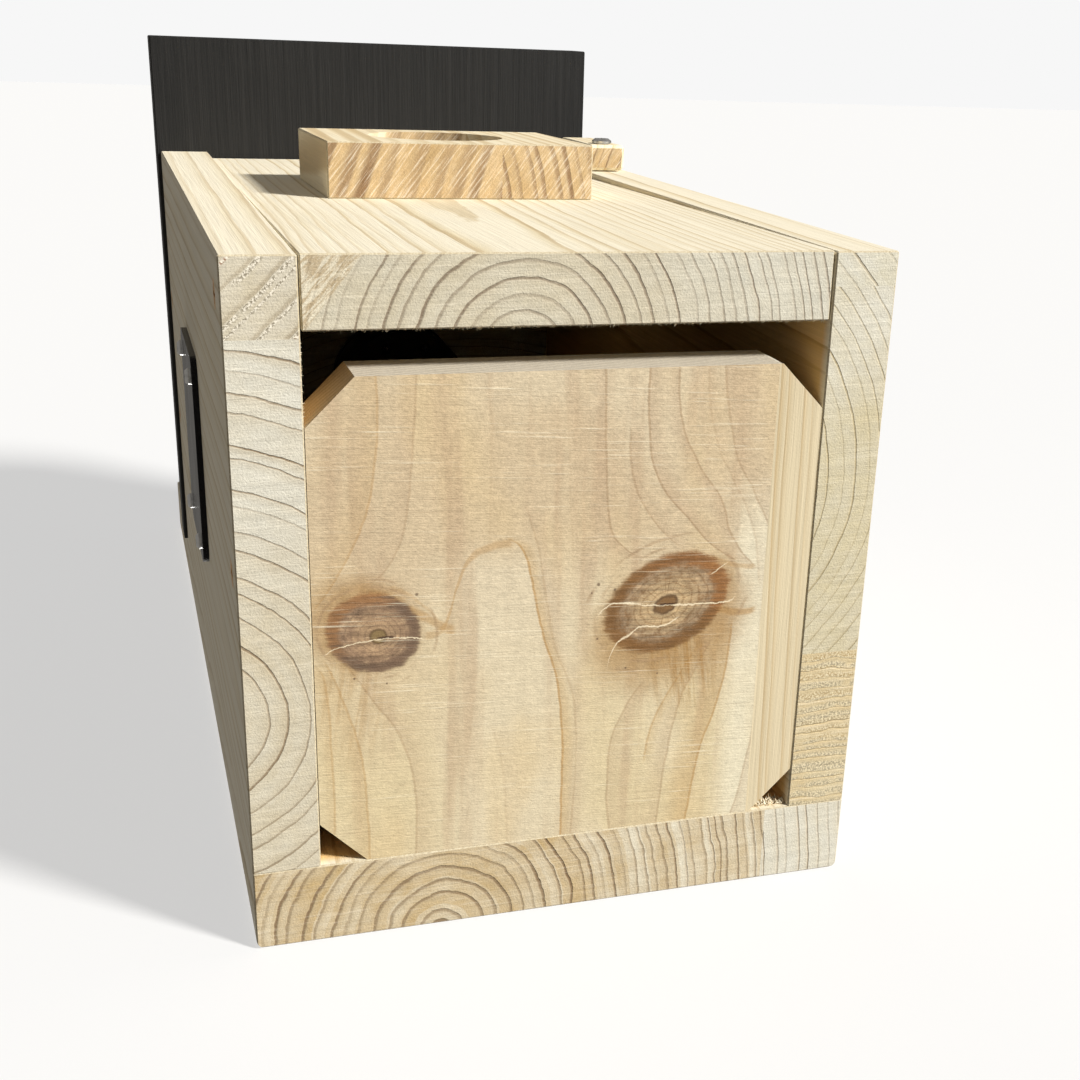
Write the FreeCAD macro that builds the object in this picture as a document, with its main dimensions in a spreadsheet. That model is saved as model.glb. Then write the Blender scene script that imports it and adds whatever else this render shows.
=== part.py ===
"""A wooden birdhouse that hangs on a wall or a tree, with a front that swings down to open.

Frame: millimetres, +Z up, the front faces -Y, and the origin is at the middle of the footprint,
on the plane of the bottom ends of the boards. Left and right are as seen from the front, so the
left side is at -X. Every driving size is a cell of the sheet, and each sub-part is bound to it.
"""
import FreeCAD, Part
import os
import re

SIZES = {
    # boards of the box
    "board": 19.0,               # thickness of the sides, door, floor, ceiling and roof
    "back_thick": 24.5,          # thickness of the back board
    "wide": 183.0,               # over the two sides
    "side_deep": 170.5,          # front to back of one side
    "tall": 306.0,               # height of the sides
    "back_tall": 400.0,          # height of the back board, which stands up behind the roof
    "front": -75.0,              # y of the front edges of the sides
    "arris": 0.4,                # the eased edge of every board
    "left_joint": 20.6,          # glued joint of the left side, from the front
    "right_joint": 9.5,          # first glued joint of the right side, from the front
    "right_rear_joint": 119.0,   # second glued joint of the right side, from the front
    "back_joint": 64.8,          # x of the glued joint of the back board
    "back_round": 2.6,           # radius of the back board's two worn rear edges
    # floor
    "floor_up": 0.3,             # the floor sits this far inside the bottom ends
    "floor_start": 30.4,         # front edge of the floor, from the front
    "floor_gap": 0.2,            # beside the floor, left and right
    "floor_clip": 13.0,          # clipped corners, for drainage
    "floor_strip_wide": 14.0,    # the strip glued to the right of the floor board
    # roof and ceiling
    "roof_side": 1.5,            # the roof stands out this far past each side
    "roof_front": 45.0,          # and this far past the front
    "ceiling_start": 22.4,       # front edge of the ceiling, from the front: the door's stop
    # door
    "door_gap": 0.4,             # beside the door, left and right
    "door_low": 0.5,             # the door's lower end, above the bottom ends
    "door_top_gap": 1.0,         # between the door and the roof
    "pivot_in": 12.0,            # pivot axis, from the front
    "pivot_up": 17.0,            # pivot axis, above the bottom ends
    "pivot_hole_deep": 28.0,
    "pivot_play": 0.05,          # radial play of the door on its pivot screws
    # entrance block
    "block_screw_x": 35.0,       # block screws, from the hole's centre
    "block_screw_up": 27.0,
    "block_left": -46.0,
    "block_right": 44.5,
    "block_joint": 12.7,         # x of the glued joint of the block
    "block_low": 135.0,
    "block_tall": 74.0,
    "block_thick": 18.0,
    "hole_x": -2.5,
    "hole_up": 172.3,
    "hole_radius": 23.7,
    # turn button
    "button_x": 81.0,
    "button_up": 240.0,
    "button_wide": 15.0,
    "button_short": 8.0,         # from the screw to the lower end
    "button_long": 36.0,         # from the screw to the upper end
    "button_thick": 10.0,
    "button_arris": 1.2,
    "button_play": 0.5,          # behind the button
    "head_play": 0.3,            # between the button and its screw's head
    # light window in the left side
    "light_in": 86.0,            # its centre, from the front
    "light_up": 155.0,
    "light_radius": 19.0,
    "pane_deep": 71.0,
    "pane_tall": 62.0,
    "pane_thick": 2.0,
    "pane_corner": 6.0,          # radius of the pane's corners
    "pane_inset": 7.0,           # pane screws, from its edges
    # nest camera under the ceiling
    "camera_x": 2.0,
    "camera_in": 96.0,
    "plate_radius": 28.0,
    "plate_thick": 3.0,
    "housing_radius": 27.5,
    "housing_tall": 25.0,
    "housing_wall": 2.0,
    "ring_radius": 16.5,
    "ring_hole": 12.5,
    "ring_out": 3.0,             # the ring stands out of the housing's face
    "lens_thick": 2.5,
    "lens_set_back": 1.0,
    "circuit_side": 34.0,
    "circuit_thick": 1.6,
    "circuit_up": 6.0,           # above the housing's face
    "ring_in": 6.0,              # the ring reaches this far into the housing
    "inlet_radius": 4.5,
    "inlet_hole": 2.5,
    "inlet_long": 9.0,
    "inlet_up": 15.0,            # above the housing's face
    "camera_screw_x": 20.0,      # camera screws, from the camera's axis
    # wood screws
    "screw_radius": 2.0,
    "head_radius": 4.0,
    "head_deep": 2.4,
    "point_long": 5.0,
    "recess_deep": 1.6,
    "side_screw_long": 45.0,     # pivot, ceiling and roof screws
    "floor_screw_long": 52.0,
    "back_screw_long": 60.0,
    "block_screw_long": 32.0,
    "floor_screw_up": 13.0,      # floor screws in the sides
    "floor_rear_up": 11.0,       # floor screw in the back
    "ceiling_screw_front": 60.0,  # ceiling screws, from the front
    "ceiling_screw_rear": 110.0,
    "roof_screw_front": 35.0,    # roof screws, from the front
    "roof_screw_rear": 150.0,
    "back_screw_low": 50.0,
    "back_screw_middle": 155.0,
    "back_screw_high": 265.0,
    # pan-head screws
    "pan_radius": 2.75,
    "pan_tall": 1.8,
    "pan_recess_deep": 0.9,
    "fine_radius": 1.4,
    "fine_long": 14.0,
    "button_screw_long": 38.0,
    # tools that cut right through reach this far past a face
    "past": 1.0,
    # hanging holes in the top of the back board
    "hang_x": 50.0,
    "hang_up": 365.0,
    "hang_radius": 3.0,
}
DOOR_LEAN_DEGREES = 0.5  # the closed door's top rests this far inwards, against the ceiling
AWAY_FROM = {
    "+X": (0, 1, 0, 90), "-X": (0, 1, 0, -90),
    "+Y": (1, 0, 0, -90), "-Y": (1, 0, 0, 90),
    "+Z": (0, 0, 1, 0), "-Z": (1, 0, 0, 180),
}

doc = FreeCAD.newDocument("Birdhouse")
sheet = doc.addObject("Spreadsheet::Sheet", "Sizes")
for row, (alias, size) in enumerate(SIZES.items(), start=1):
    sheet.set(f"A{row}", alias)
    sheet.set(f"B{row}", str(size))
    sheet.setAlias(f"B{row}", alias)
doc.recompute()

subparts = []


def formula(text):
    """The text of an expression, with each size's name pointing at its cell."""
    return re.sub(r"[a-z_]+", lambda word: f"Sizes.{word[0]}" if word[0] in SIZES else word[0], str(text))


def bind(thing, **properties):
    """Bind properties to expressions; at=(x, y, z) binds the placement's base."""
    for axis, text in zip("xyz", properties.pop("at", ())):
        thing.setExpression(f"Placement.Base.{axis}", formula(text))
    for name, text in properties.items():
        thing.setExpression(name, formula(text))
    return thing


def block(name, at, size):
    """A plain box from its low corner and its size."""
    box = doc.addObject("Part::Box", name)
    return bind(box, at=at, Length=size[0], Width=size[1], Height=size[2])


def turned(thing, direction):
    """Turn a primitive that is made along +Z so that it points in the direction."""
    x, y, z, angle = AWAY_FROM[direction]
    thing.Placement.Rotation = FreeCAD.Rotation(FreeCAD.Vector(x, y, z), angle)
    return thing


def rod(name, at, direction, radius, length):
    """A cylinder from a point, in a direction."""
    return bind(turned(doc.addObject("Part::Cylinder", name), direction), at=at, Radius=radius, Height=length)


def taper(name, at, direction, start_radius, end_radius, length):
    """A cone from a point, in a direction."""
    cone = turned(doc.addObject("Part::Cone", name), direction)
    return bind(cone, at=at, Radius1=start_radius, Radius2=end_radius, Height=length)


def joined(name, pieces):
    """One solid from several."""
    fuse = doc.addObject("Part::MultiFuse", name)
    fuse.Shapes = pieces
    fuse.Refine = True
    return fuse


def cut(name, base, tools):
    """The base with every tool taken out of it."""
    for number, tool in enumerate(tools, start=1):
        part = doc.addObject("Part::Cut", f"{name}_cut{number}")
        part.Base = base
        part.Tool = tool
        base = part
    return base


def subpart(name, thing):
    """Name a finished sub-part."""
    thing.Label = name
    subparts.append(thing)
    return thing


def eased(name, box, hidden, ease="arris"):
    """Ease the edges of a box, except those of its hidden faces, such as -X for its left face."""
    doc.recompute()
    bounds = box.Shape.BoundBox
    low = (bounds.XMin, bounds.YMin, bounds.ZMin)
    high = (bounds.XMax, bounds.YMax, bounds.ZMax)
    planes = {f"-{axis}": (i, low[i]) for i, axis in enumerate("XYZ")}
    planes.update({f"+{axis}": (i, high[i]) for i, axis in enumerate("XYZ")})
    arris = sheet.get(ease)
    edges = []
    for number, edge in enumerate(box.Shape.Edges, start=1):
        middle = edge.CenterOfMass
        if not any(abs(middle[planes[face][0]] - planes[face][1]) < arris / 2 for face in hidden):
            edges.append((number, arris, arris))
    chamfer = doc.addObject("Part::Chamfer", name)
    chamfer.Base = box
    chamfer.Edges = edges
    return chamfer


def board(name, at, size, hidden, tools=(), ease="arris"):
    """A sawn board with eased edges, drilled by its tools."""
    raw = block(f"{name}_raw", at, size)
    return subpart(name, cut(name, eased(f"{name}_eased", raw, hidden, ease), tools))


# ---------------------------------------------------------------- screws

STEP = {
    "+X": (1, 0, 0), "-X": (-1, 0, 0),
    "+Y": (0, 1, 0), "-Y": (0, -1, 0),
    "+Z": (0, 0, 1), "-Z": (0, 0, -1),
}


def along(at, direction, distance):
    """The expressions of a point moved in a direction."""
    return [f"({base}) + ({step})*({distance})" for base, step in zip(at, STEP[direction])]


def wood_screw(name, at, direction, length):
    """The outside of a countersunk screw, from its head's flat top."""
    head = taper(f"{name}_head", at, direction, "head_radius", "screw_radius", "head_deep")
    shank_start = along(at, direction, "head_deep")
    shank = rod(f"{name}_shank", shank_start, direction, "screw_radius", f"{length} - head_deep - point_long")
    point_start = along(at, direction, f"{length} - point_long")
    point = taper(f"{name}_point", point_start, direction, "screw_radius", "screw_radius/4", "point_long")
    return joined(f"{name}_outside", [head, shank, point])


def pan_screw(name, at, direction, length, radius="fine_radius", head="pan_radius"):
    """The outside of a pan-head screw, from the face that its head bears on."""
    back = {"+": "-", "-": "+"}[direction[0]] + direction[1]
    rim = rod(f"{name}_rim", at, back, head, "pan_tall/2")
    crown_start = along(at, back, "pan_tall/2")
    crown = taper(f"{name}_crown", crown_start, back, head, f"({head})*0.7", "pan_tall/2")
    shank = rod(f"{name}_shank", at, direction, radius, length)
    return joined(f"{name}_outside", [rim, crown, shank])


def cross_recess(name, at, direction, reach, deep):
    """The two crossed slots in a screw's head, starting just outside its top."""
    across = [axis for axis in "XYZ" if axis != direction[1]]
    slots = []
    for number, long_axis in enumerate(across):
        size = {axis: f"({reach})*0.28" for axis in across}
        size[long_axis] = f"({reach})*1.3"
        size[direction[1]] = f"2*({deep})"
        low = [f"({base}) - ({size[axis]})/2" for base, axis in zip(at, "XYZ")]
        slots.append(block(f"{name}_slot{number}", low, [size[axis] for axis in "XYZ"]))
    return joined(f"{name}_recess", slots)


def screw_set(name, outsides, tops, direction_of, reach, deep):
    """One node of identical screws, each with its recess."""
    finished = []
    for number, (outside, top) in enumerate(zip(outsides, tops)):
        recess = cross_recess(f"{name}{number}", top, direction_of[number], reach, deep)
        finished += [cut(f"{name}{number}", outside, [recess])]
    if len(finished) == 1:
        return subpart(name, finished[0])
    group = doc.addObject("Part::Compound", f"{name}_group")
    group.Links = finished
    return subpart(name, group)


def wood_screws(name, places, length):
    """A set of countersunk screws at (point, direction) places; returns their outsides."""
    outsides = [wood_screw(f"{name}{i}", at, way, length) for i, (at, way) in enumerate(places)]
    tops, ways = zip(*places)
    screw_set(name, outsides, tops, ways, "head_radius", "recess_deep")
    return outsides


def pan_screws(name, places, length, radius="fine_radius", head="pan_radius"):
    """A set of pan-head screws at (point, direction) places; returns their outsides."""
    outsides = []
    tops = []
    for number, (at, way) in enumerate(places):
        outsides.append(pan_screw(f"{name}{number}", at, way, length, radius, head))
        tops.append(along(at, way, "-pan_tall"))
    screw_set(name, outsides, tops, [way for at, way in places], head, "pan_recess_deep")
    return outsides


SIDES = (("wide/2", "-X"), ("-wide/2", "+X"))
BACK_FACE = "front + side_deep + back_thick"

pivot_right, pivot_left = wood_screws(
    "pivot_screws", [((x, "front + pivot_in", "pivot_up"), way) for x, way in SIDES], "side_screw_long")
floor_right, floor_left, floor_rear = wood_screws(
    "floor_screws",
    [((x, "front + side_deep/2", "floor_screw_up"), way) for x, way in SIDES]
    + [((0, BACK_FACE, "floor_rear_up"), "-Y")], "floor_screw_long")
ceiling_places = [
    ((x, f"front + {inwards}", "tall - board/2"), way)
    for inwards in ("ceiling_screw_front", "ceiling_screw_rear") for x, way in SIDES
]
ceiling_screws = wood_screws("ceiling_screws", ceiling_places, "side_screw_long")
ceiling_right, ceiling_left = ceiling_screws[0::2], ceiling_screws[1::2]
MIDDLES = ("wide/2 - board/2", "board/2 - wide/2")
back_places = [
    ((x, BACK_FACE, up), "-Y")
    for up in ("back_screw_low", "back_screw_middle", "back_screw_high") for x in MIDDLES
]
back_screws = wood_screws("back_screws", back_places, "back_screw_long")
back_right, back_left = back_screws[0::2], back_screws[1::2]
roof_places = [
    ((x, f"front + {inwards}", "tall + board"), "-Z")
    for inwards in ("roof_screw_front", "roof_screw_rear") for x in MIDDLES
]
roof_screws = wood_screws("roof_screws", roof_places, "side_screw_long")
roof_right, roof_left = roof_screws[0::2], roof_screws[1::2]

button_face = "front - button_play - button_thick - head_play"
button_screw, = pan_screws(
    "turn_button_screw", [(("button_x", button_face, "button_up"), "+Y")], "button_screw_long",
    "screw_radius", "head_radius")
pane_places = [
    (("-wide/2 - pane_thick", f"front + light_in + ({a})*(pane_deep/2 - pane_inset)",
      f"light_up + ({b})*(pane_tall/2 - pane_inset)"), "+X")
    for a in (-1, 1) for b in (-1, 1)
]
pane_screws = pan_screws("window_screws", pane_places, "fine_long")
CAMERA_Y = "front + camera_in"
PLATE_LOW = "tall - board - plate_thick"
camera_screws = pan_screws(
    "camera_screws", [((f"camera_x + ({a})*camera_screw_x", CAMERA_Y, PLATE_LOW), "+Z") for a in (-1, 1)],
    "fine_long")

# ---------------------------------------------------------------- box

light_hole = rod(
    "light_hole", ("-wide/2 - past", "front + light_in", "light_up"), "+X", "light_radius", "board + 2*past")
board("left_side_front_strip", ("-wide/2", "front", 0), ("board", "left_joint", "tall"), ["+Y"], [pivot_left])
board(
    "left_side_board", ("-wide/2", "front + left_joint", 0), ("board", "side_deep - left_joint", "tall"),
    ["-Y", "+Y"], [floor_left, light_hole, *ceiling_left, *back_left, *roof_left, *pane_screws])
board(
    "right_side_front_strip", ("wide/2 - board", "front", 0), ("board", "right_joint", "tall"),
    ["+Y"], [pivot_right, button_screw])
board(
    "right_side_board", ("wide/2 - board", "front + right_joint", 0),
    ("board", "right_rear_joint - right_joint", "tall"), ["-Y", "+Y"],
    [pivot_right, button_screw, floor_right, roof_right[0], *ceiling_right, *back_right])
board(
    "right_side_rear_strip", ("wide/2 - board", "front + right_rear_joint", 0),
    ("board", "side_deep - right_rear_joint", "tall"), ["-Y", "+Y"], [roof_right[1], *back_right])

hang_holes = [
    rod(f"hang_hole{i}", (x, f"{BACK_FACE} + past", "hang_up"), "-Y", "hang_radius", "back_thick + 2*past")
    for i, x in enumerate(("-hang_x", "hang_x"))
]


def worn_edge(name, corner_x, centre_x):
    """What is missing outside the rounding of one rear edge of the back board, over its whole height."""
    corner = block(
        f"{name}_corner", (corner_x, f"{BACK_FACE} - back_round", "-past"),
        ("back_round + past", "back_round + past", "back_tall + 2*past"))
    core = rod(
        f"{name}_core", (centre_x, f"{BACK_FACE} - back_round", "-2*past"), "+Z", "back_round",
        "back_tall + 4*past")
    return cut(name, corner, [core])


worn_left = worn_edge("worn_left", "-wide/2 - past", "back_round - wide/2")
worn_right = worn_edge("worn_right", "wide/2 - back_round", "wide/2 - back_round")
board(
    "back_board", ("-wide/2", "front + side_deep", 0), ("wide/2 + back_joint", "back_thick", "back_tall"),
    ["+X"], [floor_rear, *back_left, *hang_holes, worn_left])
board(
    "back_strip", ("back_joint", "front + side_deep", 0), ("wide/2 - back_joint", "back_thick", "back_tall"),
    ["-X"], [*back_right, worn_right])
board(
    "roof_board", ("-wide/2 - roof_side", "front - roof_front", "tall"),
    ("wide + 2*roof_side", "side_deep + roof_front", "board"), ["+Y"], roof_screws)
board(
    "ceiling_board", ("board - wide/2", "front + ceiling_start", "tall - board"),
    ("wide - 2*board", "side_deep - ceiling_start", "board"), ["-X", "+X", "+Y", "+Z"],
    [*ceiling_screws, *camera_screws])


def floor_piece(name, x, width, clipped, tools):
    """A piece of the floor, clipped at its two outer corners."""
    body = doc.addObject("PartDesign::Body", f"{name}_body")
    slab = body.newObject("PartDesign::AdditiveBox", f"{name}_slab")
    bind(slab, Length=width, Width="side_deep - floor_start", Height="board")
    bind(body, at=(x, "front + floor_start", "floor_up"))
    doc.recompute()
    corners = []
    for number, edge in enumerate(slab.Shape.Edges, start=1):
        upright = abs(edge.CenterOfMass.z - sheet.get("board") / 2) < 1e-6
        at_end = abs(edge.CenterOfMass.x - (0 if clipped == "-X" else slab.Length.Value)) < 1e-6
        if upright and at_end:
            corners.append(f"Edge{number}")
    clip = body.newObject("PartDesign::Chamfer", f"{name}_clip")
    clip.Base = (slab, corners)
    bind(clip, Size="floor_clip")
    body.Tip = clip
    return subpart(name, cut(name, body, tools))


floor_piece(
    "floor_board", "board - wide/2 + floor_gap", "wide - 2*board - 2*floor_gap - floor_strip_wide", "-X",
    [floor_left, floor_rear, floor_right])
floor_piece(
    "floor_strip", "wide/2 - board - floor_gap - floor_strip_wide", "floor_strip_wide", "+X", [floor_right])

# ---------------------------------------------------------------- door, leaning on its pivot

block_places = [
    ((f"hole_x + ({a})*block_screw_x", "front + board", f"hole_up + ({b})*block_screw_up"), "-Y")
    for a in (-1, 1) for b in (-1, 1)
]
block_screws = wood_screws("block_screws", block_places, "block_screw_long")
entrance = rod(
    "entrance", ("hole_x", "front + board + past", "hole_up"), "-Y",
    "hole_radius", "board + block_thick + 2*past")
pivot_holes = [
    rod(f"pivot_hole{i}", (f"{x} * (1 - 2*board/wide)", "front + pivot_in", "pivot_up"), way,
        "screw_radius + pivot_play", "pivot_hole_deep")
    for i, (x, way) in enumerate(SIDES)
]
board(
    "front_door_panel", ("board + door_gap - wide/2", "front", "door_low"),
    ("wide - 2*board - 2*door_gap", "board", "tall - door_top_gap - door_low"), [],
    [entrance, *pivot_holes, *block_screws])
board(
    "entrance_block_left", ("block_left", "front - block_thick", "block_low"),
    ("block_joint - block_left", "block_thick", "block_tall"), ["+X"], [entrance, *block_screws[:2]])
board(
    "entrance_block_right", ("block_joint", "front - block_thick", "block_low"),
    ("block_right - block_joint", "block_thick", "block_tall"), ["-X"], [entrance, *block_screws[2:]])

# ---------------------------------------------------------------- turn button

button_hole = rod(
    "button_hole", ("button_x", "front", "button_up"), "-Y", "screw_radius + pivot_play",
    "button_thick + button_play + past")
board(
    "turn_button",
    ("button_x - button_wide/2", "front - button_play - button_thick", "button_up - button_short"),
    ("button_wide", "button_thick", "button_short + button_long"), [], [button_hole], "button_arris")

# ---------------------------------------------------------------- window pane


def pane():
    """The clear plate over the light hole, with round corners."""
    plate = block(
        "pane_raw", ("-wide/2 - pane_thick", "front + light_in - pane_deep/2", "light_up - pane_tall/2"),
        ("pane_thick", "pane_deep", "pane_tall"))
    doc.recompute()
    radius = sheet.get("pane_corner")
    rounded = doc.addObject("Part::Fillet", "pane_rounded")
    rounded.Base = plate
    through = [n for n, edge in enumerate(plate.Shape.Edges, start=1) if edge.Length < radius]
    rounded.Edges = [(number, radius, radius) for number in through]
    subpart("window_pane", cut("window_pane", rounded, pane_screws))


pane()

# ---------------------------------------------------------------- camera

FACE_UP = f"{PLATE_LOW} - housing_tall"


def camera():
    """The nest camera: plate, cup-shaped housing, circuit board, lens and its ring, cable inlet."""
    plate = rod("plate_disc", ("camera_x", CAMERA_Y, PLATE_LOW), "+Z", "plate_radius", "plate_thick")
    subpart("camera_base", cut("camera_base", plate, camera_screws))

    shell = rod("housing_outside", ("camera_x", CAMERA_Y, FACE_UP), "+Z", "housing_radius", "housing_tall")
    room = rod(
        "housing_room", ("camera_x", CAMERA_Y, f"{FACE_UP} + housing_wall"), "+Z",
        "housing_radius - housing_wall", "housing_tall")
    mouth_start = ("camera_x", CAMERA_Y, f"{FACE_UP} - past")
    mouth = rod("housing_mouth", mouth_start, "+Z", "ring_radius", "housing_wall + 2*past")
    inlet_start = ("camera_x", f"{CAMERA_Y} + housing_radius - housing_wall - past", f"{FACE_UP} + inlet_up")
    inlet = rod("inlet_outside", inlet_start, "+Y", "inlet_radius", "inlet_long")
    subpart("camera_housing", cut("camera_housing", shell, [room, mouth, inlet]))
    bore = rod("inlet_bore", along(inlet_start, "-Y", "past"), "+Y", "inlet_hole", "inlet_long + 2*past")
    subpart("camera_cable_inlet", cut("camera_cable_inlet", inlet, [bore]))

    ring_start = ("camera_x", CAMERA_Y, f"{FACE_UP} - ring_out")
    ring = rod("ring_outside", ring_start, "+Z", "ring_radius", "ring_out + ring_in")
    bore_start = along(ring_start, "-Z", "past")
    ring_bore = rod("ring_bore", bore_start, "+Z", "ring_hole", "ring_out + ring_in + 2*past")
    subpart("camera_lens_ring", cut("camera_lens_ring", ring, [ring_bore]))
    lens_start = ("camera_x", CAMERA_Y, f"{FACE_UP} - ring_out + lens_set_back")
    subpart("camera_lens", rod("camera_lens_disc", lens_start, "+Z", "ring_hole", "lens_thick"))
    circuit_low = ("camera_x - circuit_side/2", f"{CAMERA_Y} - circuit_side/2", f"{FACE_UP} + circuit_up")
    circuit = block("circuit_raw", circuit_low, ("circuit_side", "circuit_side", "circuit_thick"))
    subpart("camera_circuit_board", circuit)


camera()
doc.recompute()

# ---------------------------------------------------------------- lean of the door

LEANING = ("front_door_panel", "entrance_block_left", "entrance_block_right", "block_screws")
lean = FreeCAD.Rotation(FreeCAD.Vector(1, 0, 0), -DOOR_LEAN_DEGREES)
pivot = FreeCAD.Vector(0, sheet.get("front") + sheet.get("pivot_in"), sheet.get("pivot_up"))
for thing in subparts:
    if thing.Label in LEANING:
        thing.Placement = FreeCAD.Placement(pivot - lean.multVec(pivot), lean)
doc.recompute()

# ---------------------------------------------------------------- checks and files

failed = [thing.Name for thing in doc.Objects if "Invalid" in thing.State or "Error" in thing.State]
if failed:
    raise SystemExit(f"objects failed to recompute: {failed}")
os.makedirs("parts", exist_ok=True)
for old in os.listdir("parts"):
    os.remove(os.path.join("parts", old))
for thing in subparts:
    if thing.Shape.isNull() or not thing.Shape.isValid() or thing.Shape.Volume <= 0:
        raise SystemExit(f"{thing.Label} has no valid shape")
for thing in subparts:
    thing.Shape.exportStep(os.path.join("parts", thing.Label + ".step"))
    print(f"{thing.Label:26s} {len(thing.Shape.Solids)} solids {thing.Shape.Volume / 1000:9.2f} cm3")
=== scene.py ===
"""Looks of the wooden birdhouse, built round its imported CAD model."""
import math
import random
from types import SimpleNamespace

import bmesh
import bpy
from mathutils import Euler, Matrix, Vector


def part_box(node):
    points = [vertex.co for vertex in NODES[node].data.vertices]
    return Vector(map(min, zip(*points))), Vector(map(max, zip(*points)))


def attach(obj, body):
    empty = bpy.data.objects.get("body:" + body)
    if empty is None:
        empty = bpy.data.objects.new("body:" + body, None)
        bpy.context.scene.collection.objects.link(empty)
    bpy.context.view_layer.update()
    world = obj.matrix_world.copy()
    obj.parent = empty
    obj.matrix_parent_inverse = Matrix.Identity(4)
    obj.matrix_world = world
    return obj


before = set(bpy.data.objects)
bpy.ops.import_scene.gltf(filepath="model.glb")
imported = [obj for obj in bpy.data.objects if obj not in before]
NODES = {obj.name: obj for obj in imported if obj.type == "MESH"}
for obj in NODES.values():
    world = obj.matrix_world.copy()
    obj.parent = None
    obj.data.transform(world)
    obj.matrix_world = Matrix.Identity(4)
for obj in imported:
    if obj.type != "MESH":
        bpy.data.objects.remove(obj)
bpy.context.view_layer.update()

BOARD = 0.019  # thickness of one board, in metres
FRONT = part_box("left_side_front_strip")[0].y
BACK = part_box("back_board")[1].y
HAIR = 0.0001  # just past a face, in metres


def at_board(x, y):
    """A place in the plan, from board thicknesses right of the middle and behind the front."""
    return (x * BOARD, FRONT + y * BOARD)


# ---------------------------------------------------------------- node trees as arithmetic


class Field:
    """A number or colour that varies over a surface, held as the output of a shader node."""

    def __init__(self, tree, socket):
        self.tree = tree
        self.socket = socket

    def math(self, operation, *others):
        node = self.tree.nodes.new("ShaderNodeMath")
        node.operation = operation
        for slot, value in zip(node.inputs, (self, *others)):
            put(self.tree, slot, value)
        return Field(self.tree, node.outputs[0])

    def __add__(self, other):
        return self.math("ADD", other)

    def __sub__(self, other):
        return self.math("SUBTRACT", other)

    def __mul__(self, other):
        return self.math("MULTIPLY", other)

    def __truediv__(self, other):
        return self.math("DIVIDE", other)

    def inverse(self):
        return self * -1 + 1

    def abs(self):
        return self.math("ABSOLUTE")

    def sqrt(self):
        return self.math("SQRT")

    def fract(self):
        return self.math("FRACT")

    def floor(self):
        return self.math("FLOOR")

    def smooth(self, low, high):
        """0 below low, 1 above high, eased between."""
        node = self.tree.nodes.new("ShaderNodeMapRange")
        node.interpolation_type = "SMOOTHSTEP"
        put(self.tree, node.inputs["Value"], self)
        put(self.tree, node.inputs["From Min"], low)
        put(self.tree, node.inputs["From Max"], high)
        return Field(self.tree, node.outputs["Result"])

    def scaled(self, low, high):
        """0 to 1 stretched to low to high."""
        return self * (high - low) + low


def length(a, b):
    """How long the hypotenuse over two fields is."""
    return (a * a + b * b).sqrt()


def put(tree, slot, value):
    """Feed a shader input with a field, or set it to a plain value."""
    if isinstance(value, Field):
        tree.links.new(value.socket, slot)
    elif isinstance(value, tuple) and len(slot.default_value) == 4:
        slot.default_value = (*value, 1)
    else:
        slot.default_value = value


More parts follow.
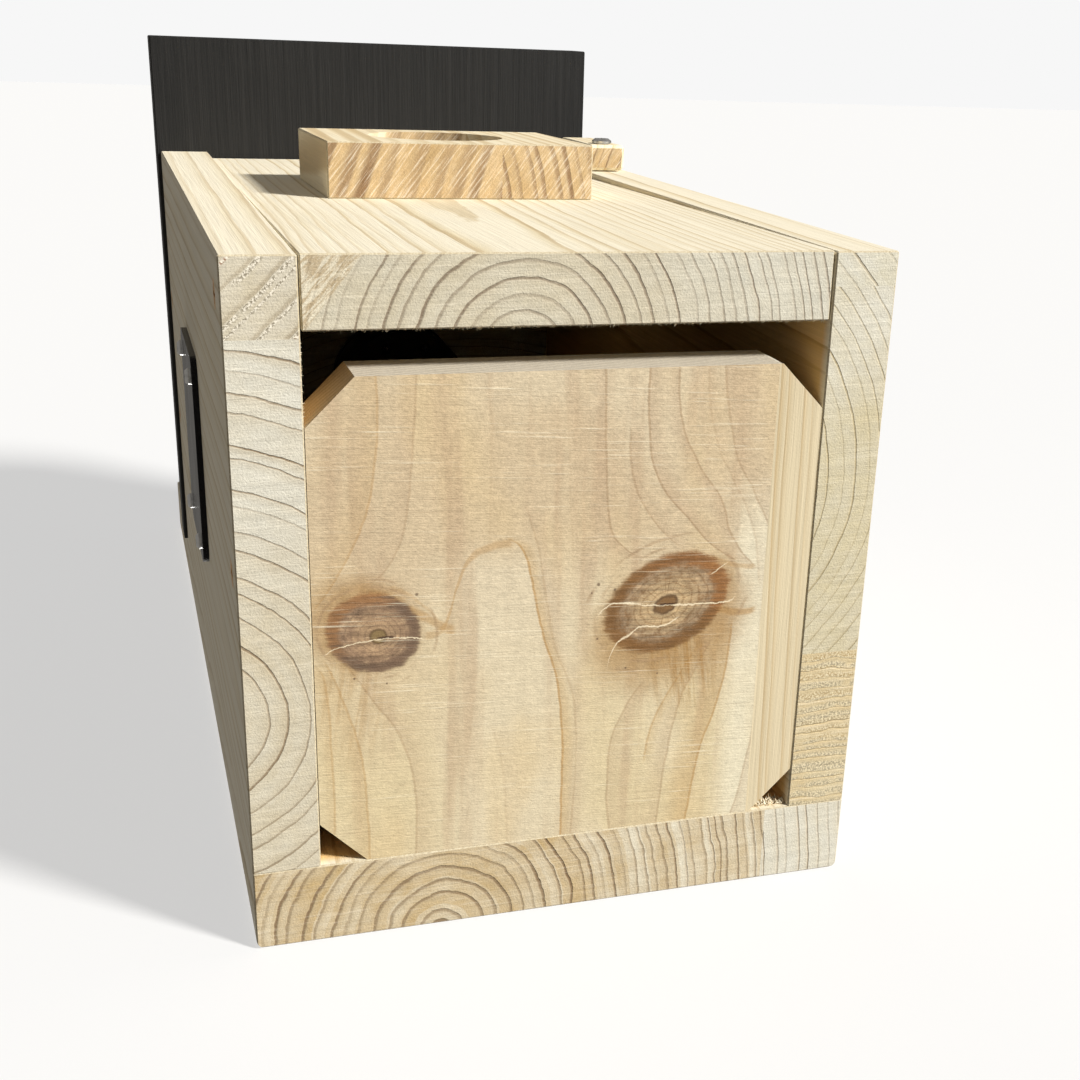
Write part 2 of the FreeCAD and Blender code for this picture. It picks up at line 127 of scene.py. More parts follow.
class Surface:
    """A new material with its Principled shader, and the fields that feed it."""

    def __init__(self, name):
        self.material = bpy.data.materials.new(name)
        self.material.use_nodes = True
        self.tree = self.material.node_tree
        self.shader = self.tree.nodes["Principled BSDF"]
        coordinates = self.tree.nodes.new("ShaderNodeTexCoord")
        self.place = Field(self.tree, coordinates.outputs["Object"])
        self.x, self.y, self.z = self.split(self.place)
        self.normal = [side.abs() for side in self.split(Field(self.tree, coordinates.outputs["Normal"]))]

    def split(self, vector):
        node = self.tree.nodes.new("ShaderNodeSeparateXYZ")
        put(self.tree, node.inputs[0], vector)
        return [Field(self.tree, output) for output in node.outputs]

    def vector(self, x, y, z):
        node = self.tree.nodes.new("ShaderNodeCombineXYZ")
        for slot, value in zip(node.inputs, (x, y, z)):
            put(self.tree, slot, value)
        return Field(self.tree, node.outputs[0])

    def noise(self, vector, scale=1.0, detail=2.0, rough=0.5, seed=0.0):
        """Smooth noise, about 0.5; the seed moves it to another place."""
        node = self.tree.nodes.new("ShaderNodeTexNoise")
        node.noise_dimensions = "4D"
        put(self.tree, node.inputs["Vector"], vector)
        put(self.tree, node.inputs["W"], seed)
        put(self.tree, node.inputs["Scale"], scale)
        put(self.tree, node.inputs["Detail"], detail)
        put(self.tree, node.inputs["Roughness"], rough)
        return Field(self.tree, node.outputs["Fac"])

    def line_noise(self, value, scale=1.0, seed=0.0):
        """Smooth noise along one number."""
        node = self.tree.nodes.new("ShaderNodeTexNoise")
        node.noise_dimensions = "1D"
        put(self.tree, node.inputs["W"], value + seed)
        put(self.tree, node.inputs["Scale"], scale)
        put(self.tree, node.inputs["Detail"], 1.0)
        return Field(self.tree, node.outputs["Fac"])

    def chance(self, value):
        """A fixed random number for each whole number."""
        node = self.tree.nodes.new("ShaderNodeTexWhiteNoise")
        node.noise_dimensions = "1D"
        put(self.tree, node.inputs["W"], value)
        return Field(self.tree, node.outputs["Value"])

    def mix(self, share, first, second, kind="MIX"):
        node = self.tree.nodes.new("ShaderNodeMix")
        node.data_type = "RGBA"
        node.blend_type = kind
        node.clamp_factor = True
        put(self.tree, node.inputs[0], share)
        put(self.tree, node.inputs[6], first)
        put(self.tree, node.inputs[7], second)
        return Field(self.tree, node.outputs[2])

    def tinted(self, colour, brightness):
        """A colour made lighter or darker by a field about 1."""
        return self.mix(1.0, colour, self.vector(brightness, brightness, brightness), "MULTIPLY")

    def finish(self, colour=None, roughness=None, height=None, depth=0.0002, **values):
        """Feed the shader. Height goes through a bump of that depth, and values are plain."""
        if colour is not None:
            put(self.tree, self.shader.inputs["Base Color"], colour)
        if roughness is not None:
            put(self.tree, self.shader.inputs["Roughness"], roughness)
        if height is not None:
            bump = self.tree.nodes.new("ShaderNodeBump")
            bump.inputs["Distance"].default_value = depth
            put(self.tree, bump.inputs["Height"], height)
            self.tree.links.new(bump.outputs[0], self.shader.inputs["Normal"])
        for name, value in values.items():
            put(self.tree, self.shader.inputs[name.replace("_", " ")], value)
        return self.material


# ---------------------------------------------------------------- wood

CREAM = (0.80, 0.735, 0.585)
STRAW = (0.70, 0.60, 0.40)
TAN = (0.46, 0.34, 0.19)
# Painted shade for the eased edge round a board's lower end: darker than the wood, to tone down the bevel the
# key light catches.
EDGE_SHADE_DARKER = (0.37, 0.30, 0.19)
EDGE_SHADE_LIGHTER = (0.50, 0.44, 0.31)
SCAR_DARK = (0.42, 0.32, 0.19)
SCAR_PALE = (0.70, 0.64, 0.50)
# Painted shade: a warm darkening laid on the faces inside the nest space, standing in for shade and warm
# bounce light.
INSIDE_BOUNCE_SHADE = (0.94, 0.70, 0.40)
GREY_PIT = (0.27, 0.235, 0.17)
CRUMB = (0.80, 0.74, 0.62)

LEFT_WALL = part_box("left_side_board")[1].x
RIGHT_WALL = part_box("right_side_board")[0].x
INSIDE_WALL = RIGHT_WALL + HAIR
INSIDE_FRONT = FRONT + BOARD - HAIR
INSIDE_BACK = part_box("back_board")[0].y + HAIR
INSIDE_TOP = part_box("ceiling_board")[1].z

# What a board's wood can set, with lengths in metres.
PLAIN_WOOD = {
    "grain": "z",  # the way the board's fibres run
    "pale": CREAM,  # early growth on the long faces
    "late": STRAW,  # and late growth
    "end_pale": (0.54, 0.475, 0.345),  # the end grain's two ground tones
    "end_grey": (0.63, 0.61, 0.53),
    "end_line": (0.15, 0.10, 0.06),  # and the line between two years
    "line_wide": 0.0004,
    "halo": 0.30,  # how much the wood darkens before each line
    "banded": 0.25,  # how much the ground tone changes from year to year
    "lean": (0.03, 0.01),  # how far the pith line moves for each metre along the board
    "wander": 0.003,  # how far the rings bend
    "wobble": 0.0016,  # how rough they are
    "closing": 0.0,  # how much narrower they get outwards
    "cool": None,  # (way, from, to): where the end grain turns to its second tone
    "patches": 0.45,  # and how much of the tone is left to patches then
    "saw_turn": 2.0,  # the saw marks' slant, in degrees
    "saw_cut": 0.12,  # and how deep they look
    "saw_scale": 1500,
    "torn": 0.0,  # how torn the early growth is at the ends
    "torn_wide": 0.26,  # and how much of each year that takes
    "pit": (0.26, 0.14, 0.08),
    "crumb": CRUMB,
    "scar": None,  # where a torn left side stops
    "sheltered": True,  # painted shade: darker and browner on the faces that look into the nest space
    "foot": 0.0,  # height of the board's lower end
}


def nest_shade_mask(s):
    """1 on the faces that look into the nest space, where the painted shade goes."""
    held = s.x.abs().math("LESS_THAN", INSIDE_WALL) * s.y.smooth(INSIDE_FRONT - 0.0015, INSIDE_FRONT + 0.0015)
    held = held * s.y.math("LESS_THAN", INSIDE_BACK) * s.z.math("LESS_THAN", INSIDE_TOP)
    return held * s.z.smooth(0.0005, 0.005)


class Wood(Surface):
    """Softwood whose growth rings are round a pith line beside or inside the board."""

    def __init__(self, name, pith, ring, seed, **changes):
        super().__init__(name)
        self.look = SimpleNamespace(**{**PLAIN_WOOD, **changes})
        self.seed = seed
        self.a, self.b, self.along, self.end_side = {
            "z": (self.x, self.y, self.z, self.normal[2]),
            "y": (self.x, self.z, self.y, self.normal[1]),
        }[self.look.grain]
        self.slow = self.vector(self.a, self.b, self.along * 0.25)
        self.fibre = self.noise(self.vector(self.a, self.b, self.along * 0.018), 1000, 3, 0.65, seed)
        self.speckle = self.noise(self.place, 1700, 2, 0.7, seed + 5)
        self.fuzz = self.noise(self.place, 620, 3, 0.7, seed + 19)
        angle = math.radians(self.look.saw_turn)
        self.over_saw = self.b * math.cos(angle) + self.a * math.sin(angle)
        self.saw = self.noise(self.across_saw(0.035), self.look.saw_scale, 3, 0.7, seed + 2)
        self.grow(pith, ring)

    def across_saw(self, stretch):
        """A place on the end grain that changes slowly along the saw marks."""
        return self.vector(self.over_saw, (self.a - self.b) * stretch, 0.0)

    def bend(self, seed):
        return (self.noise(self.slow, 16, 2, 0.5, seed) - 0.5) * self.look.wander * 2

    def grow(self, pith, ring):
        """Work out which year each place grew in, and the lines and bands of late growth."""
        look, seed = self.look, self.seed
        off_a = self.a + self.bend(seed) - pith[0] - self.along * look.lean[0]
        off_b = self.b + self.bend(seed + 7) - pith[1] - self.along * look.lean[1]
        radius = (off_a * off_a + off_b * off_b).sqrt()
        radius = radius + (self.noise(self.slow, 75, 3, 0.6, seed + 3) - 0.5) * look.wobble
        count = radius / ring
        count = count * (count * look.closing + 1)
        count = count + self.line_noise(count, 0.5, seed) * 0.5
        self.year = count.floor()
        self.turn = count - self.year + self.chance(self.year + seed * 3).scaled(0.0, 0.42)
        patchy = self.noise(self.slow, 60, 1, 0.5, seed + 17).scaled(0.4, 1.5)
        strength = self.chance(self.year + seed).scaled(0.3, 1.0) * patchy
        wide = look.line_wide / ring
        ended = self.turn.smooth(1 - wide * 0.5, 1.0).inverse() * strength
        self.line = self.turn.smooth(1 - wide * 2.2, 1 - wide) * ended
        self.band = self.turn.smooth(0.45 - wide, 1 - wide) * ended

    def long_face(self):
        """Early and late growth, blotches and fibres, and painted shade that makes the faces inside the nest
        space darker and browner.
        """
        look = self.look
        blotch = self.noise(self.slow, 30, 3, 0.55, self.seed + 11)
        face = self.mix(self.band * 0.9, look.pale, look.late)
        face = self.mix(self.line * 0.60, face, TAN)
        face = self.mix(blotch.smooth(0.5, 0.75) * 0.40, face, look.late)
        face = self.tinted(face, self.fibre.scaled(0.84, 1.16))
        if look.sheltered:
            # Painted shade: the inside faces are darkened and warmed to stand in for shade and bounce light.
            face = self.mix(nest_shade_mask(self), face, self.mix(1.0, face, INSIDE_BOUNCE_SHADE, "MULTIPLY"))
        return face

    def end_ground(self):
        """The end grain's two ground tones, in patches and from year to year."""
        look = self.look
        coarse = self.noise(self.slow, 75, 4, 0.65, self.seed + 9).smooth(0.30, 0.72)
        coarse = coarse * (1 - look.banded) + self.chance(self.year + self.seed * 7) * look.banded
        if look.cool:
            axis, start, end = look.cool
            side = self.a if axis == "across" else self.b
            coarse = coarse * look.patches + side.smooth(start, end).scaled(0.0, 1 - look.patches)
        return self.mix(coarse, look.end_pale, look.end_grey)

    def end_face(self):
        """End grain, with its lines and saw marks."""
        look = self.look
        face = self.end_ground()
        face = self.mix(self.band * look.halo, face, self.mix(0.5, look.end_line, STRAW))
        face = self.mix(self.line * 0.80, face, look.end_line)
        rub = self.noise(self.across_saw(0.12), 480, 3, 0.65, self.seed + 23)
        marks = self.saw.scaled(1 - look.saw_cut, 1 + look.saw_cut)
        face = self.tinted(face, marks * self.speckle.scaled(0.80, 1.20))
        face = self.tinted(face, self.fuzz.scaled(0.80, 1.20) * rub.scaled(0.80, 1.20))
        face = self.mix(self.saw.smooth(0.50, 0.66) * look.saw_cut * 1.4, face, CRUMB)
        if look.torn:
            face = self.torn_years(face)
        if look.scar:
            face = self.scarred(face)
        return face

    def torn_years(self, face):
        """Pits and crumbs where the saw tore the soft early growth out."""
        look, seed = self.look, self.seed
        grit = self.noise(self.place, 1500, 2, 0.7, seed + 4)
        after = self.turn.fract()
        gap = after.smooth(0.0, 0.03) * after.smooth(look.torn_wide * 0.5, look.torn_wide).inverse()
        gap = gap * self.noise(self.slow, 130, 2, 0.6, seed + 6).smooth(0.34, 0.46) * look.torn
        hole = self.mix(self.chance(self.year + seed * 5).smooth(0.45, 0.75), GREY_PIT, look.pit)
        return self.mix(gap * 0.95, face, self.mix(grit.smooth(0.44, 0.56), hole, look.crumb))

    def scarred(self, face):
        """Cross-hatched tearing on the board's left side, up to a slanted line."""
        side = (self.a + (self.b - FRONT) * 0.8).smooth(self.look.scar - 0.0008, self.look.scar).inverse()
        slant = self.vector(self.a + self.b, (self.a - self.b) * 0.15, 0.0)
        hatch = self.noise(slant, 700, 3, 0.7, self.seed + 31)
        hatch = self.mix(hatch.smooth(0.42, 0.58), SCAR_DARK, SCAR_PALE)
        return self.mix(side * self.fuzz.smooth(0.25, 0.5).scaled(0.35, 0.80), face, hatch)

    def painted(self):
        """The finished material: long faces, end grain, and painted shade on the eased edge round the lower
        end.
        """
        end = self.end_side.smooth(0.75, 0.85)
        colour = self.mix(end, self.long_face(), self.end_face())
        # Painted shade: the bevel round the lower end is darkened where the key light would catch it.
        edge_shade_colour = self.mix(self.speckle.smooth(0.4, 0.6), EDGE_SHADE_LIGHTER, EDGE_SHADE_DARKER)
        low = self.along.math("LESS_THAN", self.look.foot + 0.002)
        edge_shade_mask = self.end_side.smooth(0.45, 0.6) * end.inverse() * low
        colour = self.mix(edge_shade_mask * 0.85, colour, edge_shade_colour)
        end_height = self.saw * 0.5 + self.speckle * 0.6 - self.line * 0.5
        face_height = self.fibre * 0.8 + self.speckle * 0.2
        height = end_height * end + face_height * end.inverse()
        return self.finish(colour, self.fibre.scaled(0.62, 0.86), height, 0.0003, Specular_IOR_Level=0.3)


FLOOR_PINK = (0.545, 0.435, 0.285)
FLOOR_YELLOW = (0.60, 0.50, 0.31)
FLOOR_PALE = (0.63, 0.55, 0.40)
FLOOR_BAND = (0.43, 0.305, 0.19)
FLOOR_LINE = (0.31, 0.20, 0.11)
ORANGE_LINE = (0.40, 0.235, 0.085)
ORANGE_BAND = (0.47, 0.32, 0.15)

# Growth lines of the floor, in board thicknesses: (behind the front, right of the middle) along each, with
# how strong it is, how wide the shade beside it is (to its left if negative), and its colour.
FLOOR_LINES = (
    (((1.5, -2.85), (3.0, -2.9), (3.75, -3.1), (4.35, -3.4), (4.9, -3.8)), 0.45, -0.6, ORANGE_LINE),
    (((1.5, -2.3), (2.6, -2.35), (3.6, -2.45), (4.1, -2.6), (4.6, -3.1)), 0.35, -0.45, FLOOR_LINE),
    (((1.5, -1.3), (3.0, -1.25), (4.2, -1.35)), 0.12, 0.5, FLOOR_LINE),
    (((3.6, -0.72), (4.6, -0.45), (5.6, -0.3), (7.0, 0.1), (9.2, 0.05)), 0.28, 0.3, FLOOR_LINE),
    (((1.5, -0.2), (3.0, -0.1), (4.6, 0.0)), 0.12, 0.5, FLOOR_LINE),
    (((1.5, 0.4), (3.3, 0.48), (3.95, 0.56), (4.25, 0.75), (4.45, 1.2)), 0.50, -0.4, FLOOR_LINE),
    (((2.5, 0.8), (3.3, 0.9), (3.7, 1.1), (4.3, 1.65)), 0.40, 0.3, FLOOR_LINE),
    (((1.5, 1.05), (2.6, 1.1), (3.2, 1.25), (3.9, 1.8), (4.3, 2.15), (4.6, 2.6)), 0.60, 0.35, FLOOR_LINE),
    (((1.5, 1.5), (2.4, 1.6), (3.0, 1.85), (3.75, 2.35), (4.1, 2.45), (4.7, 2.9)), 0.50, -0.3, FLOOR_LINE),
    (((1.5, 1.95), (2.6, 2.1), (3.3, 2.45), (4.0, 2.8), (5.0, 3.0)), 0.22, 0.2, FLOOR_LINE),
    (((1.5, 2.2), (2.7, 2.4), (3.6, 2.85), (4.5, 3.15), (6.4, 3.15), (8.0, 3.0), (9.2, 2.7)), 0.40, 0.45,
     FLOOR_LINE),
    (((5.6, 2.6), (6.3, 2.55), (7.0, 2.4), (7.9, 2.15), (9.2, 2.0)), 0.70, -0.6, ORANGE_LINE),
    (((5.9, 2.25), (6.4, 2.0), (6.8, 1.8), (7.6, 1.65), (9.2, 1.5)), 0.40, -0.4, FLOOR_LINE),
    (((6.0, 2.0), (6.6, 1.65), (7.1, 1.4), (7.8, 1.25)), 0.45, 0.2, ORANGE_LINE),
    (((6.5, 1.15), (7.0, 0.85), (7.5, 0.68), (8.2, 0.65), (9.2, 0.75)), 0.40, 0.4, FLOOR_LINE),
    (((5.7, -3.65), (6.5, -3.35), (7.3, -3.15), (8.0, -3.1), (9.2, -3.1)), 0.45, -0.4, ORANGE_LINE),
    (((5.7, -3.4), (6.4, -2.95), (7.1, -2.55), (7.7, -2.4), (9.2, -2.4)), 0.40, 0.45, FLOOR_LINE),
    (((5.8, -3.75), (6.9, -3.6), (8.5, -3.6)), 0.40, -0.2, ORANGE_LINE),
    (((7.0, -1.2), (8.0, -1.0), (9.2, -0.95)), 0.15, 0.5, FLOOR_LINE),
    (((4.05, -0.93), (4.25, -0.75), (4.6, -0.63), (5.5, -0.45), (6.7, -0.15), (9.2, -0.1)), 0.75, 0.25,
     ORANGE_LINE),
)
# Lines that cross the grain, as (right of the middle, behind the front) along each, with its strength and
# half width: the front of the arch between the knots, and the brown trails beside the knots.
CROSS_LINES = (
    (((-2.2, 5.42), (-1.98, 5.35), (-1.85, 5.1), (-1.72, 4.65), (-1.5, 4.24), (-1.24, 4.12), (-0.93, 4.08)),
     0.45, 0.09),
    (((-3.0, 4.72), (-2.74, 4.80), (-2.45, 4.98), (-2.19, 5.14), (-1.95, 5.28), (-1.78, 5.34)), 0.55, 0.12),
    (((-2.72, 4.62), (-2.45, 4.74), (-2.2, 4.98), (-2.02, 5.16)), 0.30, 0.05),
    (((2.25, 5.30), (2.45, 5.40), (2.7, 5.46), (2.95, 5.44)), 0.65, 0.08),
    (((2.20, 4.55), (2.45, 4.62), (2.65, 4.68), (2.9, 4.70)), 0.45, 0.06),
)
# Dark pin marks: right of the middle, behind the front, and radius.
SPECKS = (
    (-2.32, 4.76, 0.020), (-3.24, 5.98, 0.014), (-2.77, 6.10, 0.012), (0.40, 4.82, 0.022),
    (0.66, 4.92, 0.018), (0.41, 5.69, 0.014), (0.88, 6.21, 0.014), (1.40, 6.35, 0.012),
    (-3.95, 3.10, 0.012), (0.30, 4.95, 0.012),
)
# The knots' cracks, as (right of the middle, behind the front) along each, with how wide it is.
CRACKS = (
    (((-3.64, 5.57), (-3.3, 5.45), (-3.0, 5.41), (-2.6, 5.40), (-2.23, 5.46)), 1.0),
    (((0.42, 5.30), (0.54, 5.20), (0.68, 5.14), (0.97, 5.18), (1.24, 5.22), (1.83, 5.25), (2.41, 5.26),
      (2.6, 5.19)), 1.2),
    (((0.58, 6.2), (0.64, 5.95), (0.75, 5.77), (0.93, 5.66), (1.07, 5.56), (1.43, 5.57), (1.69, 5.45)), 1.5),
    (((2.2, 4.79), (2.32, 4.70), (2.43, 4.63)), 0.8),
)
# The two knots, with lengths in metres.
LEFT_KNOT = {
    "centre": at_board(-2.95, 5.30),
    "size": (0.0127, 0.0110),  # half its length and width
    "turn": 20,  # of its length, in degrees
    "heart": (0.14, 0.06),  # how far off centre the heart is, as shares of the size
    "slit": at_board(-2.77, 5.38),
    "ring": (0.14, 0.088, 0.056),  # the dark rim
    "rust": (0.24, 0.12, 0.048),  # and its rusty side
    "inner": (0.245, 0.158, 0.098),
    "core": (0.34, 0.225, 0.13),
    "middle": (0.22, 0.15, 0.062),  # the heart
    "rust_side": -1,  # -1 left, 1 right
    "ring_wide": 0.20,
    "spread": 0.45,  # how far out the stain goes
    "stain_way": (-0.20, -0.10),  # and to which side
    "tail": (-0.35, 1.0, 0.65, 1.3),  # the brown trail, in boards: its middle, width and length
    "trail": 0.40,  # and its strength
    "seed": 3.0,
}
RIGHT_KNOT = {
    "centre": at_board(1.50, 5.20),
    "size": (0.0190, 0.0136),
    "turn": -24,
    "heart": (-0.03, 0.02),
    "slit": at_board(1.50, 5.22),
    "ring": (0.165, 0.078, 0.022),
    "rust": (0.235, 0.10, 0.028),
    "inner": (0.27, 0.185, 0.11),
    "core": (0.45, 0.325, 0.18),
    "middle": (0.17, 0.085, 0.028),
    "rust_side": 1,
    "ring_wide": 0.19,
    "spread": 0.55,
    "stain_way": (-0.05, 0.32),
    "tail": (0.35, 0.95, 0.75, 1.2),
    "trail": 0.85,
    "seed": 5.0,
}

PIN_BROWN = (0.10, 0.06, 0.035)
CRACK_PALE = (0.80, 0.68, 0.48)
SLIT_DARK = (0.05, 0.025, 0.015)
STAIN_BROWN = (0.33, 0.185, 0.062)


class KnottyFloor(Surface):
    """A flat-sawn board whose grain runs front to back and flows round its two knots."""

    def __init__(self, name):
        super().__init__(name)
        self.board_x = self.x / BOARD
        self.board_y = (self.y - FRONT) / BOARD
        self.plan = self.vector(self.board_x, self.board_y, self.z)
        tilt = self.y + self.x * -0.05
        self.saw = self.noise(self.vector(tilt, self.x * 0.02, 0.0), 1700, 3, 0.75, 8.0)
        self.saw_band = self.noise(self.vector(tilt, self.x * 0.05, 0.0), 170, 2, 0.6, 12.0)
        self.streak = self.noise(self.vector(tilt, self.x * 0.05, 0.0), 900, 3, 0.7, 6.0).smooth(0.35, 0.65)
        self.fibre = self.noise(self.vector(self.x, self.y * 0.05, self.z), 1500, 3, 0.6)
        self.grit = self.noise(self.vector(self.x * 0.5, self.y, self.z), 1500, 3, 0.75, 21.0)
        self.speckle = self.noise(self.place, 1600, 2, 0.7, 5.0)
        self.colour = FLOOR_PINK

    def lay(self, share, tone):
        """Lay a share of another tone over the colour so far."""
        self.colour = self.mix(share, self.colour, tone)

    def roughened(self, value, scale, detail, rough, seed, amount):
        """A number made uneven from place to place."""
        return value + (self.noise(self.plan, scale, detail, rough, seed) - 0.5) * amount

    def trace(self, along, across, points, wide):
        """How far across a smooth curve through the points lies, and 1 between its two ends."""
        start, end = points[0][0], points[-1][0]
        low = min(point[1] for point in points)
        high = max(point[1] for point in points) + 0.001
        node = self.tree.nodes.new("ShaderNodeFloatCurve")
        curve = node.mapping.curves[0]
        while len(curve.points) < len(points):
            curve.points.new(0.5, 0.5)
        for handle, (where, height) in zip(curve.points, points):
            handle.location = ((where - start) / (end - start), (height - low) / (high - low))
        node.mapping.update()
        put(self.tree, node.inputs["Value"], (along - start) / (end - start))
        drawn = Field(self.tree, node.outputs[0]).scaled(low, high)
        held = along.smooth(start - wide, start + wide) * along.smooth(end - wide, end + wide).inverse()
        return across - drawn, held

    def lay_ground(self):
        """Pink at the front, yellow behind, a calm pale middle, and pale sapwood at the right."""
        board_x, board_y = self.board_x, self.board_y
        patch = self.noise(self.vector(board_x, board_y * 0.6, 0.0), 0.55, 2, 0.5, 7.0)
        golden = self.noise(self.vector(board_x, board_y * 0.35, 0.0), 0.9, 2, 0.5, 41.0)
        across = self.roughened(self.roughened(board_x, 0.9, 3, 0.6, 1.0, 0.10), 6, 2, 0.6, 4.0, 0.03)
        wide_streak = self.noise(self.vector(across, board_y * 0.07, 0.0), 2.2, 3, 0.55, 2.0)
        calm = ((board_x + 0.9) / 1.3).abs().smooth(0.3, 1.3).inverse() * board_y.smooth(3.9, 4.6)
        sap = ((board_x - 2.9) / 0.4).abs().smooth(0.2, 1.6).inverse() * board_y.smooth(3.0, 4.4)
        self.lay((board_y + (patch - 0.5) * 5).smooth(4.0, 7.5), FLOOR_YELLOW)
        self.lay(calm * 0.7, FLOOR_PALE)
        self.lay(sap * 0.75, (0.70, 0.65, 0.50))
        self.lay(patch.smooth(0.5, 0.68) * 0.45, FLOOR_PALE)
        self.lay(golden.smooth(0.48, 0.66) * 0.45, (0.60, 0.46, 0.255))
        self.lay(wide_streak.smooth(0.48, 0.68) * 0.55, FLOOR_BAND)
        return across

    def lay_growth(self, across):
        """Growth lines along the grain with a shade beside each, and the lines that cross the grain."""
        for points, strength, shade, tone in FLOOR_LINES:
            off, held = self.trace(self.board_y, across, points, 0.12)
            line = off.abs().smooth(0.004, 0.028).inverse() * held
            beside = (off / shade).smooth(0.0, 0.03) * (off / shade).smooth(0.0, 1.0).inverse() * held
            self.lay(beside * strength * 0.75, ORANGE_BAND if tone is ORANGE_LINE else FLOOR_BAND)
            self.lay(line * strength, tone)
        lifted = self.roughened(self.board_y, 2.2, 2, 0.6, 3.0, 0.12)
        for points, strength, half in CROSS_LINES:
            off, held = self.trace(self.board_x, lifted, points, 0.05)
            self.lay(off.abs().smooth(half * 0.3, half).inverse() * held * strength, ORANGE_LINE)

    def knot_reach(self, knot):
        """How far out a place is in an oval knot, 0 at its heart and 1 at its rim, and its two parts."""
        angle = math.radians(knot["turn"])
        dx = self.x - knot["centre"][0]
        dy = self.y - knot["centre"][1]
        u = (dx * math.cos(angle) + dy * math.sin(angle)) / knot["size"][0]
        v = (dy * math.cos(angle) - dx * math.sin(angle)) / knot["size"][1]
        shift = length(u, v).smooth(0.0, 1.0).inverse()
        u = u - shift * knot["heart"][0]
        v = v - shift * knot["heart"][1]
        return length(u, v), u, v

    def lay_knot(self, knot):
        """One knot: its stain outside, its rings and rays inside, its dark ragged rim and its small heart."""
        reach, u, v = self.knot_reach(knot)
        ragged = reach + (self.noise(self.place, 260, 4, 0.65, knot["seed"]) - 0.5) * 0.18
        ragged = ragged + (self.streak - 0.5) * 0.045
        blot = self.noise(self.place, 330, 4, 0.65, knot["seed"] + 20)
        self.lay_stain(knot, reach, ragged, u, v)
        self.lay(ragged.smooth(0.90, 1.03).inverse() * 0.94, self.knot_inside(knot, reach, blot, u, v))
        self.lay_rim(knot, ragged, u, v)
        heart = reach + (self.noise(self.place, 520, 3, 0.6, 1.0) - 0.5) * 0.11
        middle = self.tinted(knot["middle"], blot.scaled(0.6, 1.4))
        self.lay(heart.smooth(0.18, 0.21).inverse() * 0.92, middle)
        outline = heart.smooth(0.13, 0.18) * heart.smooth(0.19, 0.24).inverse()
        self.lay(outline * 0.65, (0.10, 0.06, 0.03))

    def lay_stain(self, knot, reach, ragged, u, v):
        """A lopsided stain round the knot, a trail of brown behind it, and faint rings outside."""
        lopsided = ragged - u * knot["stain_way"][0] - v * knot["stain_way"][1]
        cloud = self.noise(self.vector(self.x, self.y * 0.4, 0.0), 170, 3, 0.6, 2.0).scaled(0.45, 1.2)
        self.lay(lopsided.smooth(0.85, 1.0 + knot["spread"]).inverse() * cloud * 0.85, STAIN_BROWN)
        tail_x, tail_y, tail_wide, tail_long = [BOARD * share for share in knot["tail"]]
        off_x = (self.x - knot["centre"][0] - tail_x) / tail_wide
        off_y = (self.y - knot["centre"][1] - tail_y) / tail_long
        tail = length(off_x, off_y).smooth(0.2, 1.1).inverse()
        flame_place = self.vector(self.x + self.y * (tail_x * -20), self.y * 0.10, 0.0)
        flame = self.noise(flame_place, 480, 3, 0.65, 3.0).smooth(0.40, 0.64)
        self.lay(tail * flame * knot["trail"], (0.33, 0.185, 0.06))
        for reached in (1.2, 1.4):
            outer = ((ragged + reach * 2) / 3 - reached).abs().smooth(0.012, 0.05).inverse()
            outer = outer * self.noise(self.place, 90, 1, 0.5, knot["seed"] + reached).smooth(0.46, 0.6)
            self.lay(outer * 0.45, FLOOR_LINE)

    def knot_inside(self, knot, reach, blot, u, v):
        """Close rings, rays out from the heart, and blotches."""
        uneven = self.noise(self.place, 260, 2, 0.5, 9.0) * 1.3
        rings = ((reach * 8 + uneven).fract() - 0.5).abs().smooth(0.28, 0.48)
        rays = self.line_noise(v.math("ARCTAN2", u), 14.0, knot["seed"]).smooth(0.54, 0.72)
        rays = rays * reach.smooth(0.2, 0.3) * reach.smooth(0.40, 0.65).inverse()
        inside = self.mix((reach + (blot - 0.5) * 0.5).smooth(0.30, 0.80), knot["core"], knot["inner"])
        inside = self.mix(blot.smooth(0.50, 0.64) * reach.smooth(0.3, 0.7) * 0.60, inside, knot["ring"])
        inside = self.mix(blot.smooth(0.36, 0.48).inverse() * 0.40, inside, (0.52, 0.37, 0.22))
        inside = self.mix(rings * 0.38, inside, knot["ring"])
        inside = self.mix(rays * 0.45, inside, knot["ring"])
        fine = self.noise(self.place, 1100, 2, 0.7, knot["seed"]).scaled(0.7, 1.3)
        return self.tinted(inside, self.streak.scaled(0.74, 1.26) * fine)

    def lay_rim(self, knot, ragged, u, v):
        """The dark ring, rusty on one side."""
        side = (u * knot["rust_side"] - v * 0.4 + self.streak * 0.5).smooth(0.2, 1.0)
        rim = self.tinted(self.mix(side, knot["ring"], knot["rust"]), self.streak.scaled(0.85, 1.25))
        wide = knot["ring_wide"]
        ring = ragged.smooth(1 - wide * 1.5, 1 - wide * 0.7) * ragged.smooth(0.98, 1.09).inverse()
        self.lay(ring * 0.88, rim)

